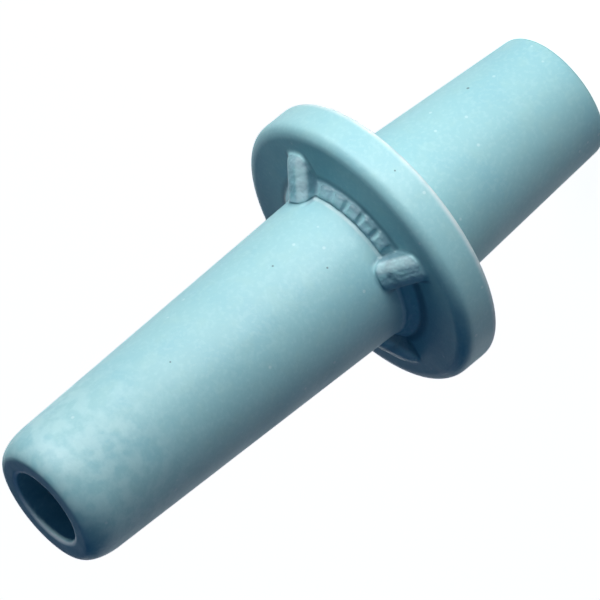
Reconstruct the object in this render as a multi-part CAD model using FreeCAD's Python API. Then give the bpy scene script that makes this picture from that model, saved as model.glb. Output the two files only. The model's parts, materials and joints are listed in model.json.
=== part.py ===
import FreeCAD
import Part
import math
import os

# Oxygen tubing connector: one hollow moulding, stood on the flat end of its
# short nose. The bore runs along Z and the long nose points up.
# All lengths in millimetres, all angles in degrees.

# Flange between the two noses
flange_diameter = 14.0
flange_thickness = 2.0
flange_upper_edge_radius = 0.6
flange_lower_edge_radius = 0.2

# Long nose, above the flange
long_nose_length = 18.6
long_nose_root_diameter = 7.6
long_nose_tip_diameter = 6.5
long_nose_round_length = 1.7
long_nose_tip_land = 0.6
long_nose_mouth_radius = 0.15

# Short nose, below the flange
short_nose_length = 10.8
short_nose_root_diameter = 7.8
short_nose_tip_diameter = 6.4
short_nose_edge_radius = 0.4
short_nose_mouth_chamfer = 0.15

# Gas passage through both noses
bore_diameter = 3.7

# Cone that joins the long nose to the flange
root_cone_diameter = 8.8
root_cone_height = 0.6

# Gusset ribs that prop the flange from the long nose
rib_count = 4
rib_thickness = 1.5
rib_rim_gap = 0.9
rib_height = 1.35
rib_edge_radius = 0.35
rib_base_radius = 0.2

# Row of plain raised dashes on the root cone, centred between two ribs
mark_count = 5
mark_pitch_angle = 12.5
mark_middle_angle = 45.0
mark_width = 0.62
mark_slant_length = 0.5
mark_height = 0.12

# Levels and radii that follow from the sizes above
flange_bottom = short_nose_length
flange_top = flange_bottom + flange_thickness
overall_length = flange_top + long_nose_length
flange_radius = flange_diameter / 2.0
bore_radius = bore_diameter / 2.0
cone_radius = root_cone_diameter / 2.0
cone_top = flange_top + root_cone_height
flat_radius = flange_radius - flange_upper_edge_radius
rib_reach = flange_radius - rib_rim_gap


def long_nose_radius(level):
    share = (level - flange_top) / long_nose_length
    drop = (long_nose_root_diameter - long_nose_tip_diameter) / 2.0
    return long_nose_root_diameter / 2.0 - drop * share


def short_nose_radius(level):
    share = (flange_bottom - level) / short_nose_length
    drop = (short_nose_root_diameter - short_nose_tip_diameter) / 2.0
    return short_nose_root_diameter / 2.0 - drop * share


def point(radius, level):
    return FreeCAD.Vector(radius, 0, level)


def straight(start, end):
    return Part.makeLine(start, end)


def edge_round(start, end, corner):
    # Quarter circle, tangent to both legs of the corner.
    centre = start + end - corner
    middle = centre + (corner - centre) * math.sqrt(0.5)
    return Part.Arc(start, middle, end).toShape()


def nose_round(start, end, corner):
    # Quarter of an ellipse, tangent to both legs of the corner.
    curve = Part.BSplineCurve()
    poles = [start, corner, end]
    weights = [1.0, math.sqrt(0.5), 1.0]
    curve.buildFromPolesMultsKnots(poles, [3, 3], [0.0, 1.0], False, 2, weights)
    return curve.toShape()


def body_outline():
    # Half section in the XZ plane, walked once round the wall.
    base_round_top = short_nose_edge_radius
    base_wall = short_nose_radius(base_round_top)
    base_flat = base_wall - short_nose_edge_radius
    tip_round_bottom = overall_length - long_nose_round_length
    tip_wall = long_nose_radius(tip_round_bottom)
    tip_flat = bore_radius + long_nose_mouth_radius + long_nose_tip_land
    lower = flange_lower_edge_radius
    upper = flange_upper_edge_radius
    tip_mouth = long_nose_mouth_radius
    base_mouth = short_nose_mouth_chamfer

    corners = [
        point(bore_radius + base_mouth, 0),
        point(base_flat, 0),
        point(base_wall, base_round_top),
        point(short_nose_radius(flange_bottom), flange_bottom),
        point(flange_radius - lower, flange_bottom),
        point(flange_radius, flange_bottom + lower),
        point(flange_radius, flange_top - upper),
        point(flange_radius - upper, flange_top),
        point(cone_radius, flange_top),
        point(long_nose_radius(cone_top), cone_top),
        point(tip_wall, tip_round_bottom),
        point(tip_flat, overall_length),
        point(bore_radius + tip_mouth, overall_length),
        point(bore_radius, overall_length - tip_mouth),
        point(bore_radius, base_mouth),
    ]
    edges = [
        straight(corners[0], corners[1]),
        edge_round(corners[1], corners[2], point(base_wall, 0)),
        straight(corners[2], corners[3]),
        straight(corners[3], corners[4]),
        edge_round(corners[4], corners[5], point(flange_radius, flange_bottom)),
        straight(corners[5], corners[6]),
        edge_round(corners[6], corners[7], point(flange_radius, flange_top)),
        straight(corners[7], corners[8]),
        straight(corners[8], corners[9]),
        straight(corners[9], corners[10]),
        nose_round(corners[10], corners[11], point(tip_wall, overall_length)),
        straight(corners[11], corners[12]),
        edge_round(corners[12], corners[13], point(bore_radius, overall_length)),
        straight(corners[13], corners[14]),
        straight(corners[14], corners[0]),
    ]
    return Part.Wire(edges)


def turned_body():
    section = Part.Face(body_outline())
    return section.revolve(FreeCAD.Vector(0, 0, 0), FreeCAD.Vector(0, 0, 1), 360)


def rib():
    # Triangular web along +X with both sides of its sloping free edge rounded.
    half = rib_thickness / 2.0
    inside = (bore_radius + long_nose_root_diameter / 2.0) / 2.0
    foot = flange_top + rib_height
    slope = (rib_reach - long_nose_radius(foot)) / rib_height
    top = foot + (long_nose_radius(foot) - inside) / slope
    sunk = flange_top - flange_thickness / 2.0
    sunk_reach = rib_reach + (flange_top - sunk) * slope
    outline = Part.makePolygon([
        FreeCAD.Vector(inside, -half, sunk),
        FreeCAD.Vector(sunk_reach, -half, sunk),
        FreeCAD.Vector(inside, -half, top),
        FreeCAD.Vector(inside, -half, sunk),
    ])
    web = Part.Face(outline).extrude(FreeCAD.Vector(0, rib_thickness, 0))
    sloping = []
    for edge in web.Edges:
        box = edge.BoundBox
        if box.XLength > 0.1 and box.ZLength > 0.1 and box.YLength < 0.001:
            sloping.append(edge)
    web = web.makeFillet(rib_edge_radius, sloping)
    return web.common(Part.makeCylinder(flat_radius, overall_length))


def rib_base_edges(body):
    # Edges round the foot of every rib, in the flange's upper face.
    found = []
    for edge in body.Edges:
        middle = edge.valueAt((edge.FirstParameter + edge.LastParameter) / 2.0)
        distance = math.hypot(middle.x, middle.y)
        level = edge.BoundBox.ZLength < 0.001 and abs(middle.z - flange_top) < 0.001
        if level and cone_radius + 0.01 < distance < rib_reach + 0.01:
            found.append(edge)
    return found


def mark(angle):
    # Raised dash that lies on the cone's slope.
    slope_top = point(long_nose_radius(cone_top), cone_top)
    slope_bottom = point(cone_radius, flange_top)
    lean = math.degrees(math.atan2(slope_bottom.x - slope_top.x, root_cone_height))
    dash = Part.makeBox(2.0 * mark_height, mark_width, mark_slant_length)
    dash.translate(FreeCAD.Vector(-mark_height, -mark_width / 2.0, -mark_slant_length / 2.0))
    dash.rotate(FreeCAD.Vector(0, 0, 0), FreeCAD.Vector(0, 1, 0), -lean)
    dash.translate((slope_top + slope_bottom) * 0.5)
    dash.rotate(FreeCAD.Vector(0, 0, 0), FreeCAD.Vector(0, 0, 1), angle)
    return dash


def connector():
    body = turned_body()
    for index in range(rib_count):
        web = rib()
        web.rotate(FreeCAD.Vector(0, 0, 0), FreeCAD.Vector(0, 0, 1), index * 360.0 / rib_count)
        body = body.fuse(web)
    body = body.removeSplitter()
    body = body.makeFillet(rib_base_radius, rib_base_edges(body))
    for index in range(mark_count):
        offset = (index - (mark_count - 1) / 2.0) * mark_pitch_angle
        body = body.fuse(mark(mark_middle_angle + offset))
    return body.removeSplitter().Solids[0]


os.makedirs("parts", exist_ok=True)
moulding = connector()
moulding.exportStep("parts/connector.step")
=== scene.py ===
import json
import math

import bmesh
import bpy
from mathutils import Matrix, Vector


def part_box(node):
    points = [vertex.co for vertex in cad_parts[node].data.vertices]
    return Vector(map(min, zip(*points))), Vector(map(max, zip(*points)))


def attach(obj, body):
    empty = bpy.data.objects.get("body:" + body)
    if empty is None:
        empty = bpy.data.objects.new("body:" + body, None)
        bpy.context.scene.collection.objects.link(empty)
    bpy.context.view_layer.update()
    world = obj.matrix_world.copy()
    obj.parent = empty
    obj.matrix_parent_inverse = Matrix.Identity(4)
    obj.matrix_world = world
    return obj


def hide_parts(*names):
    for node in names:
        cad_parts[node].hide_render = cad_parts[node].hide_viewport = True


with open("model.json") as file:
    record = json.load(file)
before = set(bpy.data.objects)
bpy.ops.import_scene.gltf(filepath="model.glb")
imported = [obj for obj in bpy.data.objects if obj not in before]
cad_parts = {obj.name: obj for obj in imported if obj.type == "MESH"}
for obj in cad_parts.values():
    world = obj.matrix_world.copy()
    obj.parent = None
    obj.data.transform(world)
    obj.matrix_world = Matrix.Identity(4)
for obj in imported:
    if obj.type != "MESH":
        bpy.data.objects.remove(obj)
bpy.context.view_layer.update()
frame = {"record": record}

MM = 0.001
QUARTER = math.pi / 2

# Sizes in millimetres, read from the frame. The moulding stands on the end of its short nose.
mounts = {mount["name"]: mount["dims"] for mount in frame["record"]["mounts"]}
box_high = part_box("connector")[1]
height = box_high[2] / MM
flange_r = box_high[0] / MM
bore_r = mounts["gas_bore"]["r_mm"]
short_length = mounts["short_nose"]["length_mm"]
short_root_r = mounts["short_nose"]["r_mm"]
long_root_r = mounts["long_nose"]["r_mm"]
flange_low = short_length
flange_top = height - mounts["long_nose"]["length_mm"]

# Sizes in millimetres that the frame doesn't name
long_taper = 0.55
short_taper = 0.7
flange_low_round = 0.2
flange_top_round = 0.6
cone_r = 4.4
cone_top = flange_top + 0.6
end_round_length = 1.7
end_land = 0.6
mouth_round = 0.15
base_round = 0.4
base_chamfer = 0.15
rib_thick = 1.5
rib_height = 1.35
rib_reach = flange_r - 0.9
rib_round = 0.55
rib_end = 0.3
rib_sunk = 0.4
rib_count = 4
dash_size = (0.24, 0.62, 0.5)
dash_step = math.radians(12.5)
dash_middle = math.radians(45)
dash_places = (-2, -1, 0, 1, 2)

# Steps along each curve, and the mesh of the finished skin
turned_steps = 200
tip_steps = 12
flange_top_steps = 9
flange_low_steps = 6
small_round_steps = 7
rib_round_steps = 5
merge_gap = 0.0005
skin_cell = 0.08
skin_share_kept = 0.33

# Colours
body_colour = (0.32, 0.62, 0.655, 1)
cool_patch = (0.26, 0.57, 0.64, 1)
warm_patch = (0.37, 0.65, 0.65, 1)
pale_bloom = (0.5, 0.77, 0.78, 1)
# The pale fleck colour is the flecks' own colour, and also the painted highlight on the rib edges and the top of
# the cone
pale_fleck_and_highlight = (0.72, 0.87, 0.87, 1)
# Painted highlight for the thin pale lines on the flange's lower edge and round the bore's mouth
edge_highlight_colour = (0.85, 0.93, 0.93, 1)
blue_grey = (0.4, 0.58, 0.68, 1)
# Painted shade for inner corners and creases
painted_corner_shade = (0.07, 0.19, 0.25, 1)
dark_speck = (0.03, 0.1, 0.12, 1)
# Painted shade for the inside of the bore
bore_shade_colour = (0.05, 0.16, 0.2, 1)

white = (1, 1, 1)
cool_fill = (0.1, 0.6, 1)

# Camera: place in metres, turn in degrees, lens in millimetres
camera_place = (0.181337, 0.077341, 0.0956098)
camera_turn = (-57.3889, 46.0539, -42.1811)
camera_lens = 288.6674

# Specks of dust: place and radius in millimetres
dust = [
    ((1.02, 3.33, 4.3), 0.1),
    ((3.25, 1.8, 15.65), 0.07),
    ((2.1, 3.0, 17.35), 0.07),
    ((2.3, 2.6, 23.85), 0.06),
    ((5.52, 4.31, 11.6), 0.06),
]


def long_r(z):
    return long_root_r - long_taper * (z - flange_top) / (height - flange_top)


def short_r(z):
    return short_root_r - short_taper * (flange_low - z) / short_length


# The moulding

def corner_arc(bm, centre, radius, start, steps, stretch=1.0):
    """A rounded corner of the half section: a vertex spun a quarter turn, and the arc then stretched along Z."""
    centre = Vector(centre)
    first = bm.verts.new(centre + radius * Vector((math.cos(start), 0, math.sin(start))))
    bmesh.ops.spin(bm, geom=[first], cent=centre, axis=(0, -1, 0), angle=QUARTER, steps=steps)
    arc = [first]
    while len(arc) <= steps:
        ahead = [edge.other_vert(arc[-1]) for edge in arc[-1].link_edges]
        arc += [vert for vert in ahead if vert not in arc]
    for vert in arc:
        vert.co.z = centre.z + (vert.co.z - centre.z) * stretch
    return arc


def half_section(bm):
    """The wall's closed outline in the XZ plane: up the outside, over the tip and down the bore."""
    round_low = height - end_round_length
    end_depth = long_r(round_low) - bore_r - mouth_round - end_land
    end_stretch = end_round_length / end_depth
    base_centre = (short_r(base_round) - base_round, 0, base_round)
    low_centre = (flange_r - flange_low_round, 0, flange_low + flange_low_round)
    top_centre = (flange_r - flange_top_round, 0, flange_top - flange_top_round)
    end_centre = (long_r(round_low) - end_depth, 0, round_low)
    mouth_centre = (bore_r + mouth_round, 0, height - mouth_round)
    stretches = [
        [bm.verts.new((bore_r + base_chamfer, 0, 0))],
        corner_arc(bm, base_centre, base_round, -QUARTER, small_round_steps),
        [bm.verts.new((short_r(flange_low), 0, flange_low))],
        corner_arc(bm, low_centre, flange_low_round, -QUARTER, flange_low_steps),
        corner_arc(bm, top_centre, flange_top_round, 0, flange_top_steps),
        [bm.verts.new((cone_r, 0, flange_top))],
        [bm.verts.new((long_r(cone_top), 0, cone_top))],
        corner_arc(bm, end_centre, end_depth, 0, tip_steps, end_stretch),
        corner_arc(bm, mouth_centre, mouth_round, QUARTER, small_round_steps),
        [bm.verts.new((bore_r, 0, base_chamfer))],
    ]
    outline = [vert for stretch in stretches for vert in stretch]
    for here, following in zip(outline, outline[1:] + outline[:1]):
        if bm.edges.get((here, following)) is None:
            bm.edges.new((here, following))
    return outline


def turned_body(bm):
    outline = half_section(bm)
    section = outline + list(bm.edges)
    bmesh.ops.spin(
        bm, geom=section, cent=(0, 0, 0), axis=(0, 0, 1), angle=2 * math.pi, steps=turned_steps, use_merge=True,
    )
    bmesh.ops.remove_doubles(bm, verts=bm.verts, dist=merge_gap)


def rib(bm, turn):
    """A web between the flange and the long nose, with its free edge and its outer end rounded."""
    before = set(bm.verts)
    half = rib_thick / 2
    foot = flange_top + rib_height
    slope = (rib_reach - long_r(foot)) / rib_height
    inside = (bore_r + long_root_r) / 2
    sunk = flange_top - rib_sunk
    end = rib_reach - rib_end
    clear = 0.01
    corners = [
        (inside, sunk),
        (end, sunk),
        (end, flange_top + rib_end / slope),
        (inside, foot + (long_r(foot) - inside) / slope),
    ]
    side = bm.faces.new([bm.verts.new((x, -half, z)) for x, z in corners])
    wide = bmesh.ops.extrude_face_region(bm, geom=[side])
    moved = [item for item in wide["geom"] if isinstance(item, bmesh.types.BMVert)]
    bmesh.ops.translate(bm, verts=moved, vec=(0, rib_thick, 0))
    rounded = []
    for edge in [edge for edge in bm.edges if edge.verts[0] not in before]:
        middle = (edge.verts[0].co + edge.verts[1].co) / 2
        if middle.x > inside + clear and middle.z > sunk + clear:
            rounded.append(edge)
    bmesh.ops.bevel(
        bm, geom=rounded, offset=rib_round, segments=rib_round_steps, profile=0.5, affect='EDGES', material=-1,
    )
    new = [vert for vert in bm.verts if vert not in before]
    bmesh.ops.rotate(bm, verts=new, cent=(0, 0, 0), matrix=Matrix.Rotation(turn, 3, 'Z'))


def dash(bm, turn):
    """A plain raised dash lying on the slope of the root cone."""
    block = bmesh.ops.create_cube(bm, size=1.0)["verts"]
    bmesh.ops.scale(bm, verts=block, vec=dash_size)
    top = Vector((long_r(cone_top), 0, cone_top))
    foot = Vector((cone_r, 0, flange_top))
    lean = math.atan2(foot.x - top.x, top.z - foot.z)
    bmesh.ops.rotate(bm, verts=block, cent=(0, 0, 0), matrix=Matrix.Rotation(-lean, 3, 'Y'))
    bmesh.ops.translate(bm, verts=block, vec=(top + foot) / 2)
    bmesh.ops.rotate(bm, verts=block, cent=(0, 0, 0), matrix=Matrix.Rotation(turn, 3, 'Z'))


def moulded_body(material):
    bm = bmesh.new()
    turned_body(bm)
    for index in range(rib_count):
        rib(bm, index * 2 * math.pi / rib_count)
    for place in dash_places:
        dash(bm, dash_middle + place * dash_step)
    bmesh.ops.recalc_face_normals(bm, faces=bm.faces)
    bmesh.ops.scale(bm, verts=bm.verts, vec=(MM, MM, MM))
    mesh = bpy.data.meshes.new("moulded_body")
    bm.to_mesh(mesh)
    bm.free()
    mesh.materials.append(material)
    body = bpy.data.objects.new("moulded_body", mesh)
    bpy.context.scene.collection.objects.link(body)
    skin = body.modifiers.new("one_skin", 'REMESH')
    skin.mode = 'VOXEL'
    skin.voxel_size = skin_cell * MM
    skin.use_smooth_shade = True
    soft = body.modifiers.new("soft_edges", 'SMOOTH')
    soft.factor = 0.5
    soft.iterations = 2
    fewer = body.modifiers.new("fewer_faces", 'DECIMATE')
    fewer.ratio = skin_share_kept
    return body


# The finish and the painted highlights and shade, as effects that each sit in a node group of their own. Sizes
# in them are in millimetres.

def feed(tree, socket, value):
    if isinstance(value, bpy.types.NodeSocket):
        tree.links.new(value, socket)
    else:
        socket.default_value = value


def maths(tree, operation, first, second=0.0):
    node = tree.nodes.new("ShaderNodeMath")
    node.operation = operation
    feed(tree, node.inputs[0], first)
    feed(tree, node.inputs[1], second)
    return node.outputs[0]


def fade(tree, value, start, end):
    """0 at the start value and 1 at the end value, with soft ends."""
    node = tree.nodes.new("ShaderNodeMapRange")
    node.interpolation_type = 'SMOOTHSTEP'
    feed(tree, node.inputs["Value"], value)
    feed(tree, node.inputs["From Min"], start)
    feed(tree, node.inputs["From Max"], end)
    return node.outputs["Result"]


def blend(tree, share, first, second):
    node = tree.nodes.new("ShaderNodeMix")
    node.data_type = 'RGBA'
    feed(tree, node.inputs["Factor"], share)
    feed(tree, node.inputs[6], first)
    feed(tree, node.inputs[7], second)
    return node.outputs[2]


def grain(tree, position, size, detail):
    """Soft noise from 0 to 1 with spots of about the given size."""
    node = tree.nodes.new("ShaderNodeTexNoise")
    node.inputs["Detail"].default_value = detail
    feed(tree, node.inputs["Vector"], position)
    feed(tree, node.inputs["Scale"], maths(tree, 'DIVIDE', 1 / MM, size))
    return node.outputs["Fac"]


def product(tree, first, *others):
    for other in others:
        first = maths(tree, 'MULTIPLY', first, other)
    return first


def broken(tree, position, mask, size, breaks):
    """The mask with soft gaps of about the given size. Without any where breaks is 0."""
    patches = fade(tree, grain(tree, position, size, 3), 0.3, 0.6)
    gaps = product(tree, maths(tree, 'SUBTRACT', 1.0, patches), breaks)
    return product(tree, mask, maths(tree, 'SUBTRACT', 1.0, gaps))


def length(tree, first, second):
    """The long side of a right triangle with these two short sides."""
    squares = [maths(tree, 'POWER', side, 2.0) for side in (first, second)]
    return maths(tree, 'SQRT', maths(tree, 'ADD', *squares))


def around_axis(tree, position):
    """The distance from the bore's axis and the height above the base, in millimetres."""
    split = tree.nodes.new("ShaderNodeSeparateXYZ")
    tree.links.new(position, split.inputs[0])
    across = length(tree, split.outputs["X"], split.outputs["Y"])
    return maths(tree, 'DIVIDE', across, MM), maths(tree, 'DIVIDE', split.outputs["Z"], MM)


def off_rib(tree, position):
    """How far a point is from the middle plane of the nearest rib, in millimetres."""
    split = tree.nodes.new("ShaderNodeSeparateXYZ")
    tree.links.new(position, split.inputs[0])
    sides = [maths(tree, 'ABSOLUTE', split.outputs[axis]) for axis in "XY"]
    return maths(tree, 'DIVIDE', maths(tree, 'MINIMUM', *sides), MM)


def effect(name, inputs, output):
    """An empty node group: the tree, the sockets that come in and the one that goes out."""
    tree = bpy.data.node_groups.new(name, 'ShaderNodeTree')
    for label, kind, value in [("Position", 'Vector', None)] + inputs:
        socket = tree.interface.new_socket(label, in_out='INPUT', socket_type="NodeSocket" + kind)
        if value is not None:
            socket.default_value = value
    tree.interface.new_socket(output[0], in_out='OUTPUT', socket_type="NodeSocket" + output[1])
    return tree, tree.nodes.new("NodeGroupInput").outputs, tree.nodes.new("NodeGroupOutput").inputs[0]


def patchy_tint():
    tree, given, result = effect("patchy_tint", [
        ("Colour", 'Color', None),
        ("Patch Colour", 'Color', None),
        ("Size", 'Float', 1.0),
        ("Coverage", 'Float', 0.5),
        ("Strength", 'Float', 1.0),
    ], ("Colour", 'Color'))
    softness = 0.12
    cloud = grain(tree, given["Position"], given["Size"], 3)
    edge = maths(tree, 'SUBTRACT', 1.0, given["Coverage"])
    patch = fade(tree, cloud, maths(tree, 'SUBTRACT', edge, softness), maths(tree, 'ADD', edge, softness))
    share = product(tree, patch, given["Strength"])
    tree.links.new(blend(tree, share, given["Colour"], given["Patch Colour"]), result)
    return tree


def flecks():
    """Small round flecks, one in some of the cells of a scattered pattern."""
    tree, given, result = effect("flecks", [
        ("Spacing", 'Float', 1.0),
        ("Radius", 'Float', 0.1),
        ("Share", 'Float', 0.5),
    ], ("Mask", 'Float'))
    cells = tree.nodes.new("ShaderNodeTexVoronoi")
    feed(tree, cells.inputs["Vector"], given["Position"])
    feed(tree, cells.inputs["Scale"], maths(tree, 'DIVIDE', 1 / MM, given["Spacing"]))
    reach = maths(tree, 'DIVIDE', given["Radius"], given["Spacing"])
    dot = fade(tree, cells.outputs["Distance"], reach, product(tree, reach, 0.5))
    draw = tree.nodes.new("ShaderNodeSeparateXYZ")
    tree.links.new(cells.outputs["Color"], draw.inputs[0])
    chosen = maths(tree, 'LESS_THAN', draw.outputs["X"], given["Share"])
    tree.links.new(product(tree, dot, chosen), result)
    return tree


def speck():
    """One round speck at a given place."""
    tree, given, result = effect("speck", [
        ("Place", 'Vector', None),
        ("Radius", 'Float', 0.1),
    ], ("Mask", 'Float'))
    gap = tree.nodes.new("ShaderNodeVectorMath")
    gap.operation = 'DISTANCE'
    feed(tree, gap.inputs[0], given["Position"])
    feed(tree, gap.inputs[1], given["Place"])
    reach = maths(tree, 'DIVIDE', gap.outputs["Value"], MM)
    tree.links.new(fade(tree, reach, given["Radius"], product(tree, given["Radius"], 0.3)), result)
    return tree


def bend_mask():
    """Where the surface bends sharply: outward edges for a bend above 0.5, inner corners for one below."""
    tree, given, result = effect("bend_mask", [
        ("From", 'Float', 0.5),
        ("To", 'Float', 0.6),
        ("Breaks", 'Float', 0.5),
    ], ("Mask", 'Float'))
    bend = tree.nodes.new("ShaderNodeNewGeometry")
    edge = fade(tree, bend.outputs["Pointiness"], given["From"], given["To"])
    tree.links.new(broken(tree, given["Position"], edge, 0.5, given["Breaks"]), result)
    return tree


def ring_line():
    """A painted highlight line round the axis, at a given radius and level, with breaks in it."""
    tree, given, result = effect("ring_line", [
        ("Radius", 'Float', 1.0),
        ("Level", 'Float', 1.0),
        ("Width", 'Float', 0.1),
        ("Breaks", 'Float', 0.5),
    ], ("Mask", 'Float'))
    radius, level = around_axis(tree, given["Position"])
    aside = maths(tree, 'SUBTRACT', radius, given["Radius"])
    along = maths(tree, 'SUBTRACT', level, given["Level"])
    line = fade(tree, length(tree, aside, along), given["Width"], product(tree, given["Width"], 0.3))
    tree.links.new(broken(tree, given["Position"], line, 0.6, given["Breaks"]), result)
    return tree


def rib_zone():
    """The root cone and the ribs, where the mould left a rougher skin."""
    tree, given, result = effect("rib_zone", [], ("Mask", 'Float'))
    radius, level = around_axis(tree, given["Position"])
    rib_top = flange_top + rib_height
    above = fade(tree, level, flange_top + 0.02, flange_top + 0.15)
    below = fade(tree, level, rib_top + 0.4, rib_top - 0.1)
    off_nose = fade(tree, radius, long_root_r + 0.03, long_root_r + 0.12)
    tree.links.new(product(tree, above, below, off_nose), result)
    return tree


def rib_corner():
    """Painted shade in the inner corners beside the ribs and round the foot of the cone."""
    tree, given, result = effect("rib_corner", [], ("Mask", 'Float'))
    radius, level = around_axis(tree, given["Position"])
    gap = maths(tree, 'SUBTRACT', off_rib(tree, given["Position"]), rib_thick / 2)
    beside = product(
        tree,
        fade(tree, gap, 0.22, 0.02),
        fade(tree, gap, -0.12, 0.0),
        fade(tree, radius, rib_reach - 0.2, rib_reach - 0.9),
    )
    cone_foot = product(
        tree,
        fade(tree, radius, cone_r + 0.4, cone_r),
        fade(tree, radius, cone_r - 0.2, cone_r - 0.05),
    )
    low = product(
        tree,
        fade(tree, level, flange_top - 0.1, flange_top - 0.05),
        fade(tree, level, flange_top + rib_height, cone_top),
    )
    tree.links.new(product(tree, maths(tree, 'MAXIMUM', beside, cone_foot), low), result)
    return tree


def rib_edge():
    """Painted highlight on the rounded edges of the ribs."""
    tree, given, result = effect("rib_edge", [], ("Mask", 'Float'))
    radius, level = around_axis(tree, given["Position"])
    steep = rib_height / (rib_reach - long_root_r)
    free_edge = flange_top + steep * rib_reach
    under = maths(tree, 'ADD', level, product(tree, radius, steep))
    aside = off_rib(tree, given["Position"])
    lit_edge = product(
        tree,
        fade(tree, under, free_edge - 0.55, free_edge - 0.25),
        fade(tree, aside, 0.2, 0.4),
        fade(tree, aside, rib_thick / 2 + 0.05, rib_thick / 2 - 0.05),
        fade(tree, level, flange_top + 0.1, flange_top + 0.25),
        fade(tree, radius, long_root_r + 0.05, long_root_r + 0.2),
    )
    tree.links.new(lit_edge, result)
    return tree


def bore_depth():
    """The inside of the bore, from a little way behind each mouth."""
    tree, given, result = effect("bore_depth", [], ("Mask", 'Float'))
    radius, level = around_axis(tree, given["Position"])
    inside = fade(tree, radius, bore_r + 0.12, bore_r + 0.03)
    deep = maths(tree, 'MINIMUM', level, maths(tree, 'SUBTRACT', height, level))
    tree.links.new(product(tree, inside, fade(tree, deep, 1.0, 3.5)), result)
    return tree


def near_tip():
    """The last stretch of the long nose, where the mottling is strongest."""
    tree, given, result = effect("near_tip", [], ("Mask", 'Float'))
    level = around_axis(tree, given["Position"])[1]
    tree.links.new(fade(tree, level, height - 8.5, height - 2.5), result)
    return tree


def moulded_skin():
    """Height of the skin: fine grain, slow waves, and a coarse skin where the rough share says."""
    tree, given, result = effect("moulded_skin", [("Rough Share", 'Float', 0.0)], ("Height", 'Float'))
    fine = product(tree, grain(tree, given["Position"], 0.16, 2), 0.006)
    waves = product(tree, grain(tree, given["Position"], 1.4, 1), 0.03)
    coarse = product(tree, grain(tree, given["Position"], 0.5, 2), 0.11, given["Rough Share"])
    tree.links.new(maths(tree, 'ADD', maths(tree, 'ADD', fine, waves), coarse), result)
    return tree


def plastic():
    material = bpy.data.materials.new("pale_aqua_plastic")
    material.use_nodes = True
    tree = material.node_tree
    shader = tree.nodes["Principled BSDF"]
    shader.inputs["Specular IOR Level"].default_value = 1.0
    position = tree.nodes.new("ShaderNodeTexCoord").outputs["Object"]

    def use(group, **values):
        node = tree.nodes.new("ShaderNodeGroup")
        node.node_tree = group
        tree.links.new(position, node.inputs["Position"])
        for label, value in values.items():
            feed(tree, node.inputs[label.replace("_", " ")], value)
        return node.outputs[0]

    def paint(under, over, mask, strength):
        return blend(tree, product(tree, mask, strength), under, over)

    rough_share = use(rib_zone())
    tip_share = use(near_tip())

    # Patch colour, size, coverage and strength
    patches = [
        (cool_patch, 2.6, 0.45, 0.5),
        (warm_patch, 0.9, 0.4, 0.4),
        (pale_bloom, 0.22, 0.42, 0.22),
        (pale_bloom, 0.7, 0.48, product(tree, tip_share, 0.55)),
        (blue_grey, 0.4, 0.5, product(tree, rough_share, 0.35)),
    ]
    tint = patchy_tint()
    colour = body_colour
    for patch, size, coverage, strength in patches:
        colour = use(tint, Colour=colour, Patch_Colour=patch, Size=size, Coverage=coverage, Strength=strength)

    colour = paint(colour, pale_fleck_and_highlight, use(flecks(), Spacing=0.9, Radius=0.1, Share=0.5), 0.45)
    # Painted shade in the inward creases, beside the ribs and round the foot of the cone
    colour = paint(colour, painted_corner_shade, use(bend_mask(), From=0.48, To=0.4, Breaks=0.3), 0.75)
    colour = paint(colour, painted_corner_shade, use(rib_corner()), 0.7)
    # Painted highlight along the rounded edges of the ribs
    colour = paint(colour, pale_fleck_and_highlight, use(rib_edge()), 0.35)

    # Radius, level, width, breaks, strength and colour of the painted highlight lines: flange, mouth and top of
    # the cone
    rings = [
        (flange_r, flange_low, 0.38, 0.4, 0.8, edge_highlight_colour),
        (bore_r + 0.07, height, 0.16, 0.2, 0.9, edge_highlight_colour),
        (long_r(cone_top), cone_top, 0.16, 0.6, 0.5, pale_fleck_and_highlight),
    ]
    # Painted highlight lines where the edges catch the light
    line = ring_line()
    for radius, level, width, breaks, strength, tone in rings:
        colour = paint(colour, tone, use(line, Radius=radius, Level=level, Width=width, Breaks=breaks), strength)

    spot = speck()
    for place, radius in dust:
        metres = [side * MM for side in place]
        colour = paint(colour, dark_speck, use(spot, Place=metres, Radius=radius), 0.85)
    # Painted shade deep inside the bore, where little light reaches
    colour = paint(colour, bore_shade_colour, use(bore_depth()), 0.85)
    tree.links.new(colour, shader.inputs["Base Color"])

    gloss = product(tree, grain(tree, position, 1.8, 3), 0.18)
    tree.links.new(maths(tree, 'ADD', 0.46, gloss), shader.inputs["Roughness"])

    bump = tree.nodes.new("ShaderNodeBump")
    bump.inputs["Distance"].default_value = MM
    tree.links.new(use(moulded_skin(), Rough_Share=rough_share), bump.inputs["Height"])
    tree.links.new(bump.outputs["Normal"], shader.inputs["Normal"])
    return material


# Floor, camera and light

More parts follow.
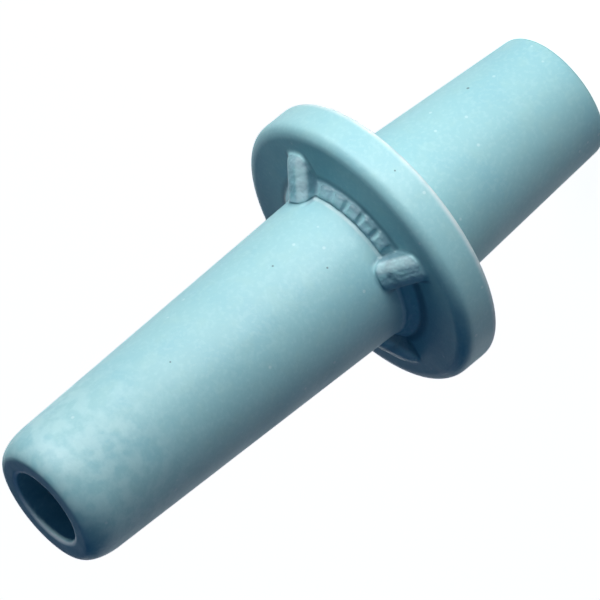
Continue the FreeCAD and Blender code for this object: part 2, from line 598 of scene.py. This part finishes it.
def floor():
    """White where it is seen, dark grey for the light that bounces off it, and it keeps the shadow."""
    material = bpy.data.materials.new("pale_floor")
    material.use_nodes = True
    tree = material.node_tree
    nodes = tree.nodes
    links = tree.links
    nodes.clear()
    out = nodes.new("ShaderNodeOutputMaterial")
    ray = nodes.new("ShaderNodeLightPath")
    direct = maths(tree, 'MAXIMUM', ray.outputs["Is Camera Ray"], ray.outputs["Is Glossy Ray"])
    seen = maths(tree, 'MAXIMUM', direct, ray.outputs["Is Transmission Ray"])
    bounce = nodes.new("ShaderNodeBsdfDiffuse")
    bounce.inputs["Color"].default_value = (0.25, 0.27, 0.3, 1)
    glow = nodes.new("ShaderNodeEmission")
    glow.inputs["Strength"].default_value = 0.93
    matt = nodes.new("ShaderNodeBsdfDiffuse")
    matt.inputs["Color"].default_value = (0.8, 0.8, 0.8, 1)
    both = nodes.new("ShaderNodeAddShader")
    links.new(glow.outputs[0], both.inputs[0])
    links.new(matt.outputs[0], both.inputs[1])
    pick = nodes.new("ShaderNodeMixShader")
    links.new(seen, pick.inputs[0])
    links.new(bounce.outputs[0], pick.inputs[1])
    links.new(both.outputs[0], pick.inputs[2])
    links.new(pick.outputs[0], out.inputs[0])
    bm = bmesh.new()
    bmesh.ops.create_circle(bm, cap_ends=True, segments=96, radius=1.5)
    mesh = bpy.data.meshes.new("floor")
    bm.to_mesh(mesh)
    bm.free()
    mesh.materials.append(material)
    sheet = bpy.data.objects.new("floor", mesh)
    bpy.context.scene.collection.objects.link(sheet)


def camera():
    data = bpy.data.cameras.new("camera")
    data.sensor_width = 36
    data.lens = camera_lens
    data.clip_start = 0.005
    data.clip_end = 10
    cam = bpy.data.objects.new("camera", data)
    cam.location = camera_place
    cam.rotation_euler = [math.radians(angle) for angle in camera_turn]
    bpy.context.scene.collection.objects.link(cam)
    bpy.context.scene.camera = cam


def softbox(name, azimuth, elevation, distance, width, tall, power, colour):
    """A rectangular lamp aimed at the middle of the part. Azimuth is counted from +X to +Y."""
    data = bpy.data.lights.new(name, 'AREA')
    data.shape = 'RECTANGLE'
    data.size = width
    data.size_y = tall
    data.energy = power
    data.color = colour
    lamp = bpy.data.objects.new(name, data)
    around = math.radians(azimuth)
    up = math.radians(elevation)
    away = Vector((math.cos(around) * math.cos(up), math.sin(around) * math.cos(up), math.sin(up)))
    lamp.location = Vector((0, 0, height * MM / 2)) + away * distance
    lamp.rotation_mode = 'QUATERNION'
    lamp.rotation_quaternion = away.to_track_quat('Z', 'Y')
    bpy.context.scene.collection.objects.link(lamp)


def surroundings():
    """White to the camera, dim and a little blue for the light that it gives."""
    sky = bpy.data.worlds.new("studio")
    sky.use_nodes = True
    nodes = sky.node_tree.nodes
    links = sky.node_tree.links
    nodes.clear()
    out = nodes.new("ShaderNodeOutputWorld")
    ray = nodes.new("ShaderNodeLightPath")
    dim = nodes.new("ShaderNodeBackground")
    dim.inputs["Color"].default_value = (0.2, 0.5, 1, 1)
    dim.inputs["Strength"].default_value = 0.1
    white = nodes.new("ShaderNodeBackground")
    pick = nodes.new("ShaderNodeMixShader")
    links.new(ray.outputs["Is Camera Ray"], pick.inputs[0])
    links.new(dim.outputs[0], pick.inputs[1])
    links.new(white.outputs[0], pick.inputs[2])
    links.new(pick.outputs[0], out.inputs[0])
    bpy.context.scene.world = sky


bpy.context.scene.view_settings.view_transform = 'Standard'
camera()
surroundings()
floor()

# Azimuth and elevation in degrees, then distance, width and height in metres, power in watts and colour
softbox("side_light", 88, 0, 0.45, 0.3, 0.1, 1.5, white)
softbox("front_light", 62, 0, 0.45, 0.3, 0.1, 1.15, white)
softbox("low_light", 45, -18, 0.032, 0.014, 0.006, 0.003, white)
softbox("fill_light", -10, -2, 0.45, 0.3, 0.1, 0.06, cool_fill)
softbox("back_light", 203, 2, 0.45, 0.3, 0.1, 0.25, white)

body = moulded_body(plastic())
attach(body, "root")
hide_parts("connector")
